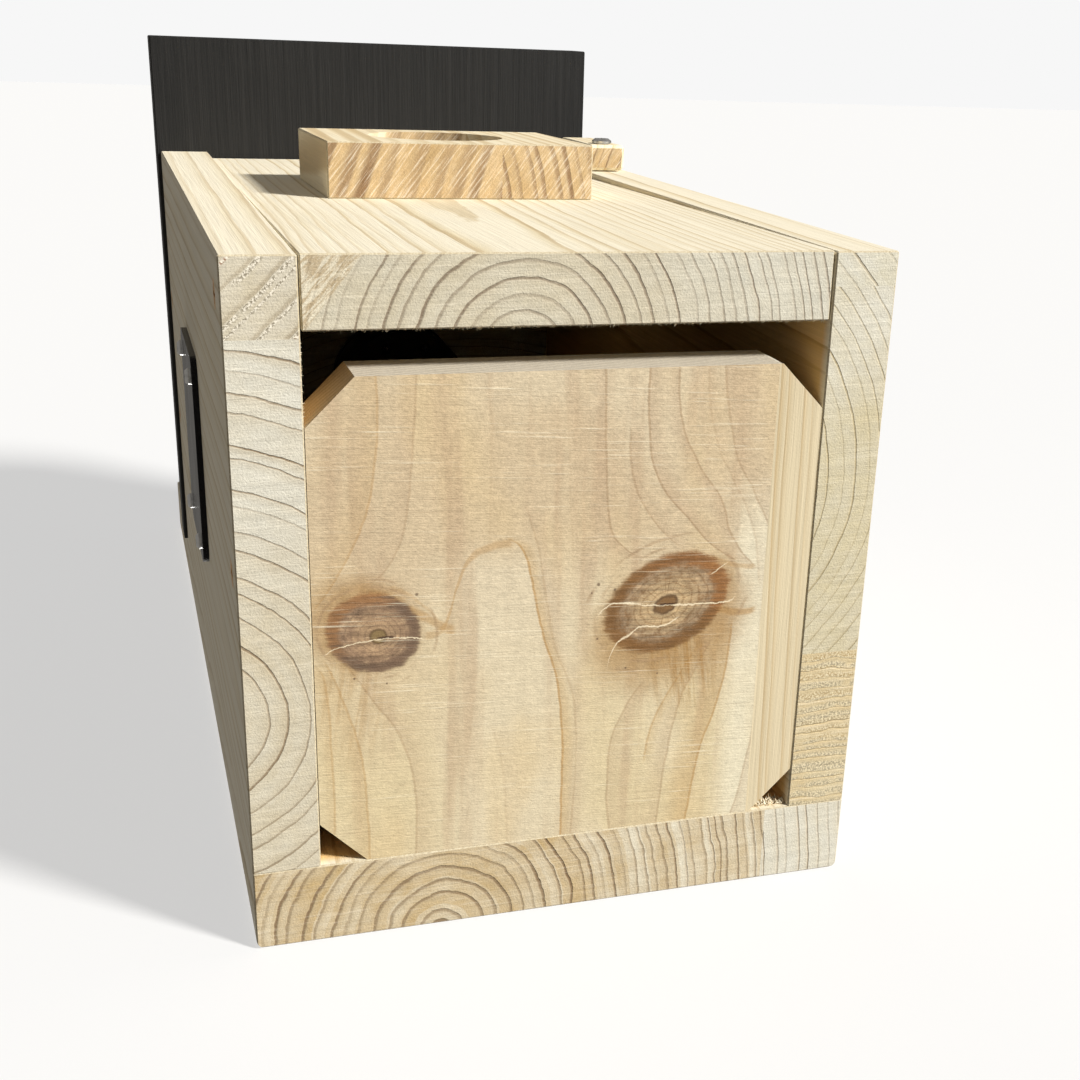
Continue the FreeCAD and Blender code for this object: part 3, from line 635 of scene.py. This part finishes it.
    def lay_cracks(self):
        """Pale cracks across the knots, with a short dark slit in each heart."""
        jagged = self.roughened(self.board_y, 9, 3, 0.7, 31.0, 0.09)
        for points, wide in CRACKS:
            off, held = self.trace(self.board_x, jagged, points, 0.05)
            width = self.noise(self.plan, 5, 1, 0.5, 8.0).scaled(0.002, 0.030) * wide
            self.lay(off.abs().smooth(0.0, width).inverse() * held * 0.9, CRACK_PALE)
        for knot in (LEFT_KNOT, RIGHT_KNOT):
            slit_x, slit_y = knot["slit"]
            slit_long = (self.x - slit_x).abs().smooth(0.0016, 0.0030).inverse()
            slit_thin = (jagged - (slit_y - FRONT) / BOARD).abs().smooth(0.008, 0.024).inverse()
            self.lay(slit_long * slit_thin * 0.85, SLIT_DARK)

    def lay_specks(self):
        for mark_x, mark_y, radius in SPECKS:
            mark = length(self.board_x - mark_x, self.board_y - mark_y)
            self.lay(mark.smooth(radius * 0.6, radius * 1.8).inverse() * 0.75, PIN_BROWN)

    def lay_saw_marks(self):
        """Fibres, grit and saw marks, rougher towards the front."""
        rough = self.board_y.smooth(3.4, 6.4).inverse().scaled(0.45, 1.0)
        mottle = self.noise(self.vector(self.x * 0.7, self.y, self.z), 420, 3, 0.7, 15.0)
        fine = self.fibre.scaled(0.95, 1.05) * self.saw.scaled(0.91, 1.09) * self.speckle.scaled(0.84, 1.16)
        self.colour = self.tinted(self.colour, fine)
        self.colour = self.tinted(self.colour, (self.grit - 0.5) * rough * 0.75 + 1)
        self.colour = self.tinted(self.colour, mottle.scaled(0.80, 1.20))
        bright = self.saw.smooth(0.56, 0.66) * self.saw_band.smooth(0.45, 0.58)
        self.lay(bright * 0.60, (0.80, 0.73, 0.56))
        cut = self.saw.smooth(0.34, 0.42).inverse() * self.saw_band.smooth(0.42, 0.50).inverse()
        self.lay(cut * 0.35, FLOOR_BAND)

    def lay_ends(self):
        """End grain on the front end and the clipped corners, with slanted lines."""
        slant = self.roughened(self.x + self.z * 1.7, 1.4, 3, 0.6, 51.0, 0.008)
        end_line = (slant / 0.0042).fract().smooth(0.55, 0.95)
        end_line = end_line * self.noise(self.plan, 3, 1, 0.5, 52.0).scaled(0.3, 1.2)
        clipped = self.normal[0].smooth(0.5, 0.65)
        end = self.mix(clipped, (0.55, 0.50, 0.41), (0.45, 0.36, 0.24))
        end = self.mix(end_line * 0.65, end, (0.21, 0.155, 0.10))
        end = self.tinted(end, self.grit.scaled(0.7, 1.3) * self.speckle.scaled(0.8, 1.2))
        self.lay(self.normal[1].smooth(0.5, 0.65), end)

    def painted(self):
        self.lay_growth(self.lay_ground())
        for knot in (LEFT_KNOT, RIGHT_KNOT):
            self.lay_knot(knot)
        self.lay_cracks()
        self.lay_specks()
        self.lay_saw_marks()
        self.lay_ends()
        height = self.grit * 0.7 + self.saw * 0.6 + self.speckle * 0.2
        return self.finish(self.colour, self.fibre.scaled(0.6, 0.82), height, 0.00025, Specular_IOR_Level=0.3)


def black_stain(name):
    """Planed softwood under a black stain, with the grain just showing."""
    s = Surface(name)
    streak = s.noise(s.vector(s.x, s.y * 0.02, s.z), 520, 3, 0.6)
    fine = s.noise(s.vector(s.x, s.y * 0.04, s.z), 1900, 2, 0.6, 3.0)
    worn = s.noise(s.place, 40, 3, 0.6, 5.0).smooth(0.6, 0.85)
    colour = s.mix(streak.smooth(0.35, 0.75), (0.008, 0.008, 0.008), (0.015, 0.0145, 0.014))
    colour = s.mix(worn * 0.3, colour, (0.03, 0.029, 0.028))
    height = streak * 0.7 + fine * 0.4
    return s.finish(colour, fine.scaled(0.40, 0.64), height, 0.00025, Specular_IOR_Level=0.3)


def metal(name, colour, dark, rough=(0.22, 0.45)):
    """Turned or plated steel, faintly scuffed."""
    s = Surface(name)
    scuff = s.noise(s.place, 900, 3, 0.6)
    grime = s.noise(s.place, 260, 2, 0.5, 4.0).smooth(0.5, 0.8)
    return s.finish(s.mix(grime * 0.6, colour, dark), scuff.scaled(*rough), scuff, 0.00008, Metallic=1.0)


def plastic(name, colour, light, rough, texture, depth=0.00005, specular=0.5):
    """Moulded plastic, with a fine texture and some dust."""
    s = Surface(name)
    grain = s.noise(s.place, texture, 2, 0.6)
    dust = s.noise(s.place, 90, 4, 0.7, 6.0).smooth(0.58, 0.85)
    dusty = s.mix(dust * 0.35, colour, light)
    return s.finish(dusty, grain.scaled(*rough), grain, depth, Specular_IOR_Level=specular)


def lens_glass(name):
    """A coated lens: nearly black, with a faint violet bloom in patches."""
    s = Surface(name)
    tint = s.noise(s.place, 120, 1, 0.5)
    colour = s.mix(tint, (0.008, 0.006, 0.016), (0.022, 0.010, 0.040))
    return s.finish(colour, tint.scaled(0.02, 0.05), None, Specular_IOR_Level=0.9, Coat_Weight=1.0)


def circuit(name):
    """Green solder mask over copper tracks."""
    s = Surface(name)
    tracks_per_metre = 420
    track_x = ((s.x * tracks_per_metre).fract() - 0.5).abs().smooth(0.30, 0.36)
    track_y = ((s.y * tracks_per_metre).fract() - 0.5).abs().smooth(0.30, 0.36)
    choose = s.noise(s.place, 60, 1, 0.5).smooth(0.48, 0.52)
    tracks = track_x * choose + track_y * choose.inverse()
    colour = s.mix(tracks * 0.6, (0.012, 0.10, 0.045), (0.03, 0.20, 0.09))
    return s.finish(colour, tracks.scaled(0.35, 0.5))


def dress(material, *nodes):
    """Give CAD nodes a material in every slot."""
    for node in nodes:
        if not NODES[node].material_slots:
            NODES[node].data.materials.append(material)
        for slot in NODES[node].material_slots:
            slot.material = material


def dress_board(node, *wood, **changes):
    """Give one board a wood of its own."""
    dress(Wood(*wood, **changes).painted(), node)


# What the entrance block and the turn button share: sawn across, and warm.
BLOCK_WOOD = {
    "pale": (0.80, 0.71, 0.52), "late": (0.66, 0.50, 0.27),
    "end_pale": (0.44, 0.30, 0.14), "end_grey": (0.56, 0.41, 0.23), "end_line": (0.16, 0.07, 0.018),
    "halo": 0.95, "saw_turn": 52.0, "saw_cut": 0.34, "saw_scale": 1350,
    "foot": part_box("entrance_block_left")[0].z,
}


def dress_box():
    """Every board has rings of its own, so that the glued joints read as joints."""
    dress_board(
        "left_side_front_strip", "left_front_wood", at_board(-12, -7.5), 0.0061, 1.0,
        end_grey=(0.58, 0.54, 0.45), end_line=(0.32, 0.26, 0.17), line_wide=0.0006, lean=(0.004, 0.0),
        wander=0.0015, torn=1.0)
    dress_board(
        "left_side_board", "left_wood", at_board(-5.6, 6.45), 0.0058, 2.0, end_line=(0.19, 0.125, 0.065),
        halo=0.42, wobble=0.0026, cool=("depth", at_board(0, 5.5)[1], at_board(0, 3.0)[1]))
    dress_board(
        "right_side_front_strip", "right_front_wood", at_board(0.5, 4.0), 0.0062, 3.0,
        end_pale=(0.57, 0.53, 0.40), end_line=(0.36, 0.30, 0.20), line_wide=0.0005)
    dress_board(
        "right_side_board", "right_wood", at_board(1.2, 3.35), 0.0040, 4.0, end_pale=(0.54, 0.47, 0.30),
        end_line=(0.30, 0.23, 0.11), line_wide=0.00035,
        cool=("depth", at_board(0, 2.6)[1], at_board(0, 1.4)[1]))
    dress_board(
        "right_side_rear_strip", "right_rear_wood", at_board(4.3, 26.0), 0.0034, 5.0,
        end_pale=(0.55, 0.43, 0.24), end_grey=(0.61, 0.52, 0.34), end_line=(0.50, 0.38, 0.20),
        line_wide=0.0003, halo=0.25, wobble=0.0042, saw_cut=0.2, saw_scale=1000, torn=0.75, torn_wide=0.75,
        pit=(0.36, 0.25, 0.115), crumb=(0.70, 0.61, 0.41))
    dress_board(
        "back_board", "back_wood", at_board(-2.0, 10.35), 0.0050, 6.0, end_pale=(0.45, 0.31, 0.13),
        end_grey=(0.69, 0.65, 0.53), end_line=(0.17, 0.10, 0.045), line_wide=0.0008, halo=0.70, wobble=0.0036,
        closing=0.02, banded=0.5, patches=0.75, cool=("across", at_board(-0.5, 0)[0], at_board(2.0, 0)[0]))
    dress_board(
        "back_strip", "back_strip_wood", at_board(-6.0, 10.6), 0.0038, 7.0, end_pale=(0.62, 0.58, 0.47),
        end_line=(0.28, 0.21, 0.13))
    dress_board("ceiling_board", "ceiling_wood", at_board(1.0, 14.0), 0.0050, 8.0, pale=STRAW, late=TAN)
    dress_board(
        "front_door_panel", "door_wood", at_board(-0.8, 1.40), 0.0050, 9.0, end_pale=(0.52, 0.46, 0.335),
        end_grey=(0.60, 0.58, 0.495), line_wide=0.00065, lean=(0.02, -0.01), wobble=0.0024, closing=0.018,
        cool=("across", at_board(0.5, 0)[0], at_board(3.0, 0)[0]), scar=at_board(-2.95, 0)[0],
        sheltered=False)
    dress_board(
        "entrance_block_left", "block_left_wood", at_board(-12.0, -4.2), 0.0075, 10.0, line_wide=0.0024,
        **BLOCK_WOOD)
    dress_board(
        "entrance_block_right", "block_right_wood", at_board(-7.5, 1.3), 0.0045, 11.0, line_wide=0.0010,
        **BLOCK_WOOD)
    dress_board("turn_button", "button_wood", at_board(8.0, 1.0), 0.0040, 12.0, **BLOCK_WOOD)
    dress_board(
        "floor_strip", "floor_strip_wood", (0.30, -0.02), 0.0040, 14.0, grain="y", pale=(0.62, 0.53, 0.36),
        late=(0.53, 0.42, 0.25), sheltered=False)
    dress(KnottyFloor("floor_knotty_wood").painted(), "floor_board")
    dress(black_stain("roof_stain"), "roof_board")


def dress_fittings():
    """The screws, the window's pane and the camera's parts."""
    yellow = metal("yellow_plated_steel", (0.80, 0.50, 0.20), (0.35, 0.17, 0.06), (0.28, 0.5))
    bright = metal("bright_steel", (0.78, 0.78, 0.77), (0.35, 0.34, 0.33))
    dress(yellow, "pivot_screws", "floor_screws", "ceiling_screws")
    dress(yellow, "back_screws", "roof_screws", "block_screws")
    dress(bright, "turn_button_screw", "window_screws", "camera_screws")
    smoked = plastic(
        "smoked_acrylic", (0.010, 0.010, 0.012), (0.06, 0.06, 0.06), (0.16, 0.30), 60, 0.00001, specular=0.1)
    camera = plastic("camera_black", (0.012, 0.012, 0.013), (0.05, 0.05, 0.05), (0.35, 0.5), 2600, 0.00006)
    ring = plastic("ring_black", (0.008, 0.008, 0.009), (0.04, 0.04, 0.04), (0.12, 0.2), 900)
    dress(smoked, "window_pane")
    dress(camera, "camera_base", "camera_housing", "camera_cable_inlet")
    dress(ring, "camera_lens_ring")
    dress(lens_glass("lens_glass"), "camera_lens")
    dress(circuit("circuit_green"), "camera_circuit_board")


# ---------------------------------------------------------------- small pieces


def piece(name, bm, material, body):
    """A new object from a bmesh, riding on a body."""
    mesh = bpy.data.meshes.new(name)
    bmesh.ops.recalc_face_normals(bm, faces=bm.faces)
    bm.to_mesh(mesh)
    bm.free()
    mesh.materials.append(material)
    thing = bpy.data.objects.new(name, mesh)
    bpy.context.scene.collection.objects.link(thing)
    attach(thing, body)
    return thing


def sliver(bm, root, way, long, thick, rng):
    """A curved splinter with three sides, thick at its root and pointed at its tip."""
    way = Vector(way).normalized()
    side = way.orthogonal().normalized()
    other = way.cross(side)
    curl = side * rng.uniform(-0.5, 0.5) + other * rng.uniform(-0.5, 0.5)
    spokes = [side * math.cos(math.tau * corner / 3) + other * math.sin(math.tau * corner / 3)
              for corner in range(3)]
    rows = []
    for step in range(4):
        share = step / 4
        middle = Vector(root) + way * long * share + curl * long * share * share
        radius = thick / 2 * (1 - share) ** 0.6
        rows.append([bm.verts.new(middle + spoke * radius) for spoke in spokes])
    tip = bm.verts.new(Vector(root) + way * long + curl * long)
    bm.faces.new(rows[0])
    for low, high in zip(rows, rows[1:]):
        for corner in range(3):
            after = (corner + 1) % 3
            bm.faces.new((low[corner], low[after], high[after], high[corner]))
    for corner in range(3):
        bm.faces.new((rows[-1][corner], rows[-1][(corner + 1) % 3], tip))


FIBRE_LONG = (0.0003, 0.0010)
FIBRE_THICK = (0.00010, 0.00024)
FIBRE_ROOT = 0.0003  # how deep a fibre's root is in the wood
FIBRE_UP = 0.00025  # and how far above the board's end
SPLINTER_LONG = (0.0008, 0.0026)
SPLINTER_THICK = (0.0003, 0.0007)


def fringe(bm, start, end, way, count, rng):
    """Torn fibres standing out from a sawn edge."""
    start, end = Vector(start), Vector(end)
    for _ in range(count):
        root = start.lerp(end, rng.random())
        lean = Vector((rng.uniform(-0.6, 0.6), rng.uniform(-0.6, 0.6), rng.uniform(0.1, 0.6)))
        sliver(bm, root, Vector(way) + lean, rng.uniform(*FIBRE_LONG), rng.uniform(*FIBRE_THICK), rng)


def torn_fibre():
    """Pale newly torn wood fibre."""
    s = Surface("torn_fibre")
    tone = s.noise(s.place, 700, 2, 0.6)
    colour = s.mix(tone.smooth(0.35, 0.65), (0.62, 0.50, 0.32), (0.80, 0.73, 0.57))
    return s.finish(colour, tone.scaled(0.6, 0.9), tone, 0.0001, Specular_IOR_Level=0.2)


def add_torn_edges():
    """Ragged fibres where the saw left the ends of the door and sides, and splinters in a rear corner."""
    fibre = torn_fibre()
    rng = random.Random(11)
    piece("door_edge_fibres", door_fringe(rng), fibre, "front_door")
    piece("side_edge_fibres", side_fringe(rng), fibre, "box")
    piece("corner_splinters", corner_splinters(rng), fibre, "box")


def door_fringe(rng):
    """Fibres along the inner edge of the door's lower end."""
    low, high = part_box("front_door_panel")
    edge_y = FRONT + BOARD - FIBRE_ROOT
    edge_z = low.z + FIBRE_UP
    inset = 0.001
    fibres = 230
    bm = bmesh.new()
    fringe(bm, (low.x + inset, edge_y, edge_z), (high.x - inset, edge_y, edge_z), (0, 1, 0), fibres, rng)
    return bm


def side_fringe(rng):
    """Fibres along the inner edges of the sides, from the door to the floor's clipped corners."""
    start_y = FRONT + BOARD + 0.001
    end_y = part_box("floor_board")[0].y + 0.012
    bm = bmesh.new()
    for wall, inward, count in ((LEFT_WALL, 1, 55), (RIGHT_WALL, -1, 18)):
        root_x = wall - inward * FIBRE_ROOT
        fringe(bm, (root_x, start_y, FIBRE_UP), (root_x, end_y, FIBRE_UP), (inward, 0, 0), count, rng)
    return bm


def corner_splinters(rng):
    """Splinters in the clipped corner at the right rear."""
    corner = Vector((RIGHT_WALL, INSIDE_BACK, 0))
    splinters = 150
    bm = bmesh.new()
    for _ in range(splinters):
        off = (rng.uniform(-0.0125, -0.0006), rng.uniform(-0.0007, 0.0), rng.uniform(0.0016, 0.0050))
        way = (rng.uniform(-1, 1), rng.uniform(-0.9, -0.1), rng.uniform(0.0, 1.0))
        sliver(bm, corner + Vector(off), way, rng.uniform(*SPLINTER_LONG), rng.uniform(*SPLINTER_THICK), rng)
    return bm


def lamp_epoxy():
    """Dark violet resin."""
    s = Surface("lamp_epoxy")
    haze = s.noise(s.place, 500, 2, 0.5)
    colour = s.mix(haze, (0.015, 0.010, 0.022), (0.05, 0.035, 0.07))
    return s.finish(colour, haze.scaled(0.04, 0.14), Specular_IOR_Level=0.8, Coat_Weight=0.6)


LAMPS = 8
LAMP_STEPS = 20  # sides of a lamp's outline
LAMP_CIRCLE = 0.0218  # radius of the circle of lamps, in metres
LAMP_RIM = 0.0023
LAMP_DOME = 0.0019
# A lamp's outline, as (radius, height): its rim, then its dome.
LAMP_PROFILE = [(LAMP_RIM, 0.0004), (LAMP_RIM, -0.0004), (LAMP_DOME, -0.0005)] + [
    (LAMP_DOME * math.cos(a), -0.0010 - LAMP_DOME * math.sin(a)) for a in (0.0, 0.4, 0.8, 1.2)]


def lamp(bm, centre):
    """One domed lamp, pointing down."""
    turns = [math.tau * step / LAMP_STEPS for step in range(LAMP_STEPS)]
    rows = []
    for radius, height in LAMP_PROFILE:
        ring = [Vector((radius * math.cos(t), radius * math.sin(t), height)) for t in turns]
        rows.append([bm.verts.new(centre + place) for place in ring])
    for lower, upper in zip(rows, rows[1:]):
        for step in range(LAMP_STEPS):
            after = (step + 1) % LAMP_STEPS
            bm.faces.new((lower[step], lower[after], upper[after], upper[step]))
    bm.faces.new(rows[0])
    bm.faces.new(rows[-1])


def add_camera_lights():
    """A ring of small domed lamps round the camera's lens."""
    low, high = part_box("camera_housing")
    middle = (low + high) / 2
    bm = bmesh.new()
    for number in range(LAMPS):
        around = math.tau * (number + 0.5) / LAMPS
        across = middle.x + LAMP_CIRCLE * math.cos(around)
        lamp(bm, Vector((across, middle.y + LAMP_CIRCLE * math.sin(around), low.z)))
    lamps = piece("camera_lamps", bm, lamp_epoxy(), "box")
    for face in lamps.data.polygons:
        face.use_smooth = True


# ---------------------------------------------------------------- camera, stage and light


def make_camera():
    """The viewpoint: below the box, a little to its left, with the front towards the top of the picture."""
    data = bpy.data.cameras.new("camera")
    data.lens = 49.8
    data.shift_x = -0.0696
    data.shift_y = 0.0782
    data.clip_start = 0.01
    camera = bpy.data.objects.new("camera", data)
    camera.location = (-0.1161, -0.1274, -0.3752)
    camera.rotation_euler = Euler((math.radians(157.759), math.radians(18.110), math.radians(-2.278)))
    bpy.context.scene.collection.objects.link(camera)
    bpy.context.scene.camera = camera


def one_sided(name, tone):
    """A pale backdrop that shows only to the camera, and only from its front."""
    s = Surface(name)
    s.finish((tone * 0.35, tone * 0.35, tone * 0.35), s.noise(s.place, 6, 2, 0.5).scaled(0.85, 0.95),
             Specular_IOR_Level=0.0, Emission_Color=(tone, tone, tone), Emission_Strength=0.60)
    path = s.tree.nodes.new("ShaderNodeLightPath")
    side = s.tree.nodes.new("ShaderNodeNewGeometry")
    seen = Field(s.tree, path.outputs["Is Camera Ray"]) * Field(s.tree, side.outputs["Backfacing"]).inverse()
    clear = s.tree.nodes.new("ShaderNodeBsdfTransparent")
    mix = s.tree.nodes.new("ShaderNodeMixShader")
    put(s.tree, mix.inputs[0], seen)
    s.tree.links.new(clear.outputs[0], mix.inputs[1])
    s.tree.links.new(s.shader.outputs[0], mix.inputs[2])
    s.tree.links.new(mix.outputs[0], s.tree.nodes["Material Output"].inputs["Surface"])
    return s.material


def stage_plane(name, centre, right, up, half, material):
    """A flat square whose front faces along right cross up."""
    mesh = bpy.data.meshes.new(name)
    right = Vector(right) * half
    up = Vector(up) * half
    centre = Vector(centre)
    corners = [centre - right - up, centre + right - up, centre + right + up, centre - right + up]
    mesh.from_pydata(corners, [], [(0, 1, 2, 3)])
    mesh.materials.append(material)
    plane = bpy.data.objects.new(name, mesh)
    bpy.context.scene.collection.objects.link(plane)


def area_light(name, direction, distance, size, power, colour, aim):
    """A square soft light, in a direction from what it is aimed at."""
    data = bpy.data.lights.new(name, "AREA")
    data.size = size
    data.energy = power
    data.color = colour
    light = bpy.data.objects.new(name, data)
    way = Vector(direction).normalized()
    light.location = Vector(aim) + way * distance
    light.rotation_mode = "QUATERNION"
    light.rotation_quaternion = way.to_track_quat("Z", "Y")
    bpy.context.scene.collection.objects.link(light)


PALE = 0.93  # how bright the backdrop looks
FILL = 0.225  # how much light comes from all round


def make_stage():
    """A pale floor that the box stands on, and the same behind its back."""
    pale = one_sided("pale_floor", 0.92)
    stage_plane("floor", (0, 0, -0.0004), (1, 0, 0), (0, 1, 0), 6.0, pale)
    stage_plane("back_floor", (0, BACK + 0.0004, 0), (1, 0, 0), (0, 0, 1), 6.0, pale)
    world = bpy.data.worlds.new("world")
    world.use_nodes = True
    tree = world.node_tree
    sky = tree.nodes["Background"]
    path = tree.nodes.new("ShaderNodeLightPath")
    seen = Field(tree, path.outputs["Is Camera Ray"])
    tone = tree.nodes.new("ShaderNodeCombineColor")
    for slot, warm in zip(tone.inputs, (1.0, 0.95, 0.88)):
        put(tree, slot, seen.scaled(warm, 1.0))
    put(tree, sky.inputs["Color"], Field(tree, tone.outputs[0]))
    put(tree, sky.inputs["Strength"], seen.scaled(FILL, PALE))
    bpy.context.scene.world = world
    bpy.context.scene.view_settings.view_transform = "Standard"


KEY_FROM = (0.60, -0.55, -0.55)


def make_lights():
    middle = (0, 0, 0.15)
    key = bpy.data.lights.new("key", "SUN")
    key.energy = 6.0
    key.angle = math.radians(9)
    key.color = (1.0, 0.98, 0.94)
    sun = bpy.data.objects.new("key", key)
    sun.rotation_mode = "QUATERNION"
    sun.rotation_quaternion = Vector(KEY_FROM).to_track_quat("Z", "Y")
    bpy.context.scene.collection.objects.link(sun)
    area_light("behind", (0.10, 0.85, 0.55), 1.6, 1.0, 26, (1.0, 0.99, 0.97), middle)


dress_box()
dress_fittings()
add_torn_edges()
add_camera_lights()
make_camera()
make_stage()
make_lights()
